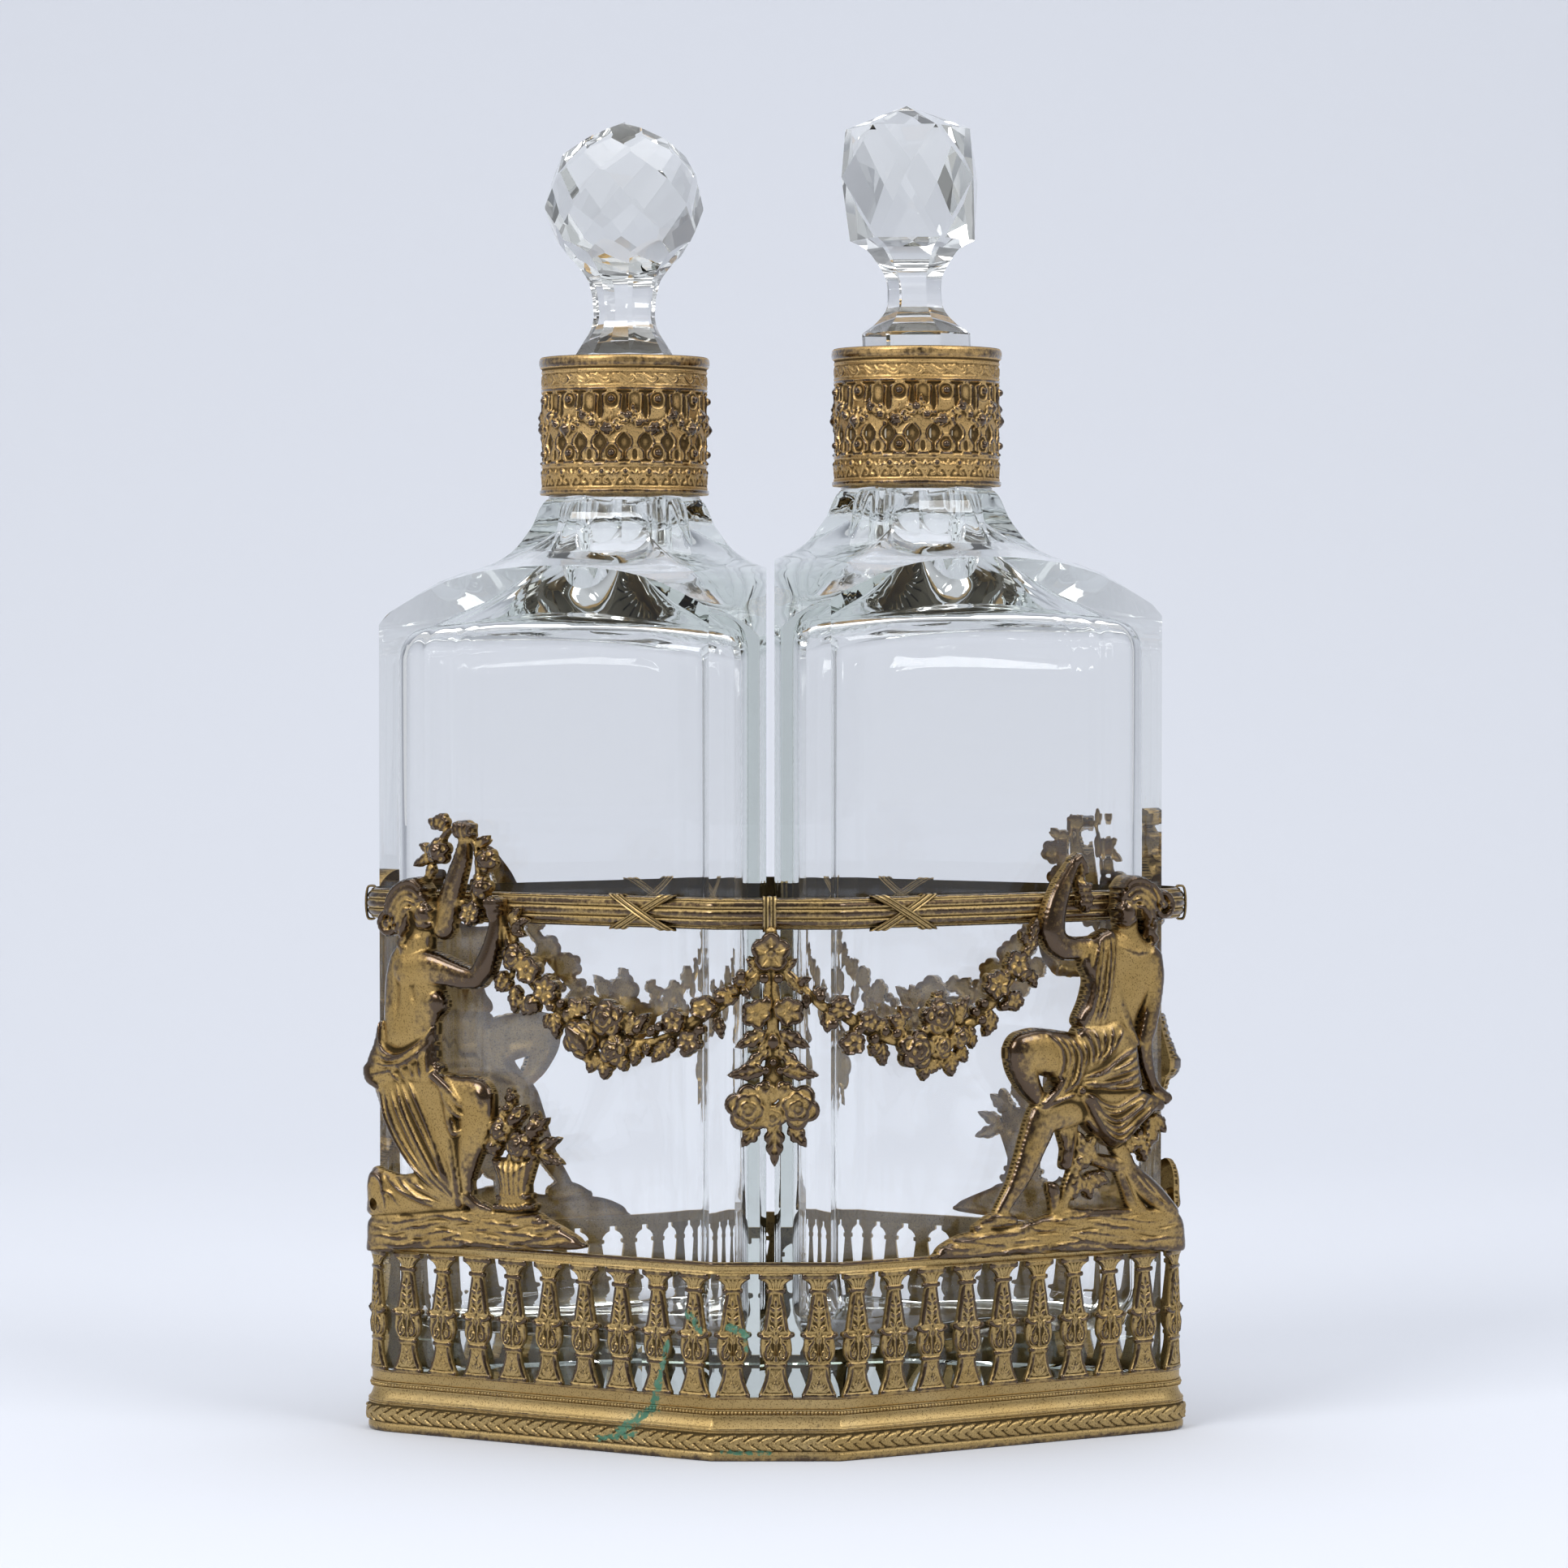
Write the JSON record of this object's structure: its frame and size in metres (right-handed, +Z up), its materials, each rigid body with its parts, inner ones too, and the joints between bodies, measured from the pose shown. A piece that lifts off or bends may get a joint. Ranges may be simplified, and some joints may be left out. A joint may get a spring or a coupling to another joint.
{
  "type": "perfume caddy",
  "caption": "Open stamped brass stand with relief figures, a pierced gallery and a festooned rail, holding triangular glass scent bottles with brass neck collars and cut glass stoppers.",
  "frame": {"origin": "middle of the base's underside, on the surface that the stand stands on", "axes": "+Z up, +X to the right along the row of bottles, -Y to the front"},
  "size_m": [0.123, 0.0736, 0.1974],
  "materials": {
    "stand_brass": "worn gilding over dark bronze",
    "relief_brass": "worn gilding, dark on the high places",
    "collar_brass": "worn gilding",
    "plate_brass": "dull",
    "glass": "clear, cut and polished",
    "cement": "dull plaster"
  },
  "bodies": {
    "stand": {"base_plate": "plate_brass", "base_moulding_front": "stand_brass", "base_moulding_back": "stand_brass", "gallery_front": "stand_brass", "gallery_back": "stand_brass", "rail_front": "stand_brass", "rail_back": "stand_brass", "rail_clip_front": "stand_brass", "rail_clip_back": "stand_brass", "figure_kneeling_front": "relief_brass", "figure_kneeling_back": "relief_brass", "figure_seated_front": "relief_brass", "figure_seated_back": "relief_brass", "pendant_front": "relief_brass", "pendant_back": "relief_brass", "ribbon_tie_left_front": "stand_brass", "ribbon_tie_left_back": "stand_brass", "ribbon_tie_right_front": "stand_brass", "ribbon_tie_right_back": "stand_brass", "festoon_left_front": "relief_brass", "festoon_left_back": "relief_brass", "festoon_right_front": "relief_brass", "festoon_right_back": "relief_brass", "rail_clip_left": "stand_brass", "rail_clip_right": "stand_brass"},
    "bottle_left": {"glass_bottle_left": "glass", "neck_collar_left": "collar_brass", "collar_cement_left": "cement"},
    "stopper_left": {"stopper_left": "glass"},
    "bottle_right": {"glass_bottle_right": "glass", "neck_collar_right": "collar_brass", "collar_cement_right": "cement"},
    "stopper_right": {"stopper_right": "glass"}
  },
  "joints": [
    {"name": "bottle_left_lift", "type": "slide", "parent": "stand", "child": "bottle_left", "axis": [0, 0, 1], "range_m": [0, 0.09]},
    {"name": "stopper_left_pull", "type": "slide", "parent": "bottle_left", "child": "stopper_left", "axis": [0, 0, 1], "range_m": [0, 0.025]},
    {"name": "bottle_right_lift", "type": "slide", "parent": "stand", "child": "bottle_right", "axis": [0, 0, 1], "range_m": [0, 0.09]},
    {"name": "stopper_right_pull", "type": "slide", "parent": "bottle_right", "child": "stopper_right", "axis": [0, 0, 1], "range_m": [0, 0.025]}
  ]
}
